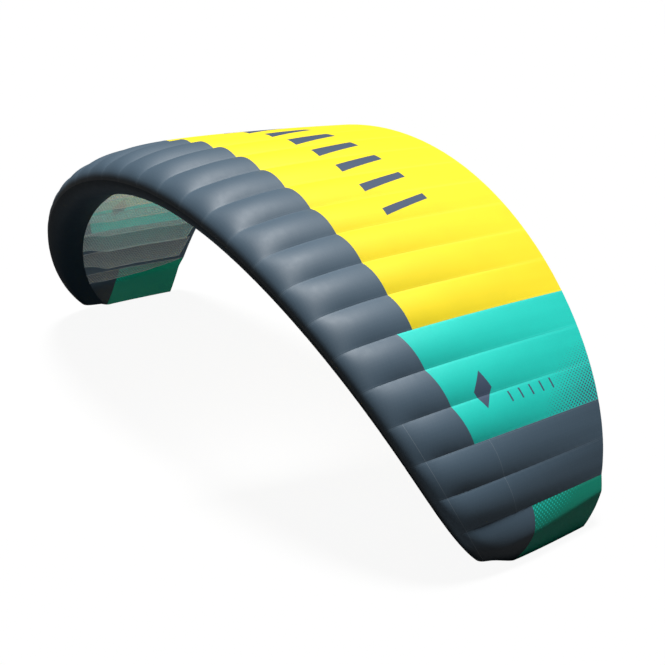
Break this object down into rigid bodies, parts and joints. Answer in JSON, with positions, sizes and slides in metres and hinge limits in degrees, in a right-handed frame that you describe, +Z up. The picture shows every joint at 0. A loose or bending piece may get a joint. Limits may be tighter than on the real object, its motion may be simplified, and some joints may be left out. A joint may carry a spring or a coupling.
{
  "type": "foil kite",
  "caption": "Single-skin foil kite: an arched ripstop wing of bulging cells, with thin see-through ribs and an open underside.",
  "frame": {"origin": "on the floor, under the middle of the wing's outer box; both wing tips stand at z = 0", "axes": "+X along the span, -Y the way the nose faces, +Y towards the trailing edge, +Z up"},
  "size_m": [4.3578, 1.7554, 1.6747],
  "materials": {
    "yellow_ripstop": "coated ripstop nylon, satin",
    "turquoise_ripstop": "coated ripstop nylon, satin",
    "slate_ripstop": "coated ripstop nylon, satin",
    "green_ripstop": "coated ripstop nylon, satin",
    "rib_cloth": "thin uncoated ripstop, see-through"
  },
  "bodies": {
    "root": {"cell_01": "green_ripstop", "cell_02": "slate_ripstop", "cell_03": "slate_ripstop", "cell_04": "turquoise_ripstop", "cell_05": "turquoise_ripstop", "cell_06": "turquoise_ripstop", "cell_07": "yellow_ripstop", "cell_08": "yellow_ripstop", "cell_09": "yellow_ripstop", "cell_10": "yellow_ripstop", "cell_11": "yellow_ripstop", "cell_12": "yellow_ripstop", "cell_13": "yellow_ripstop", "cell_14": "yellow_ripstop", "cell_15": "yellow_ripstop", "cell_16": "yellow_ripstop", "cell_17": "yellow_ripstop", "cell_18": "yellow_ripstop", "cell_19": "yellow_ripstop", "cell_20": "yellow_ripstop", "cell_21": "yellow_ripstop", "cell_22": "turquoise_ripstop", "cell_23": "turquoise_ripstop", "cell_24": "turquoise_ripstop", "cell_25": "slate_ripstop", "cell_26": "slate_ripstop", "cell_27": "green_ripstop", "rib_01": "rib_cloth", "rib_02": "rib_cloth", "rib_03": "rib_cloth", "rib_04": "rib_cloth", "rib_05": "rib_cloth", "rib_06": "rib_cloth", "rib_07": "rib_cloth", "rib_08": "rib_cloth", "rib_09": "rib_cloth", "rib_10": "rib_cloth", "rib_11": "rib_cloth", "rib_12": "rib_cloth", "rib_13": "rib_cloth", "rib_14": "rib_cloth", "rib_15": "rib_cloth", "rib_16": "rib_cloth", "rib_17": "rib_cloth", "rib_18": "rib_cloth", "rib_19": "rib_cloth", "rib_20": "rib_cloth", "rib_21": "rib_cloth", "rib_22": "rib_cloth", "rib_23": "rib_cloth", "rib_24": "rib_cloth", "rib_25": "rib_cloth", "rib_26": "rib_cloth"}
  },
  "joints": []
}
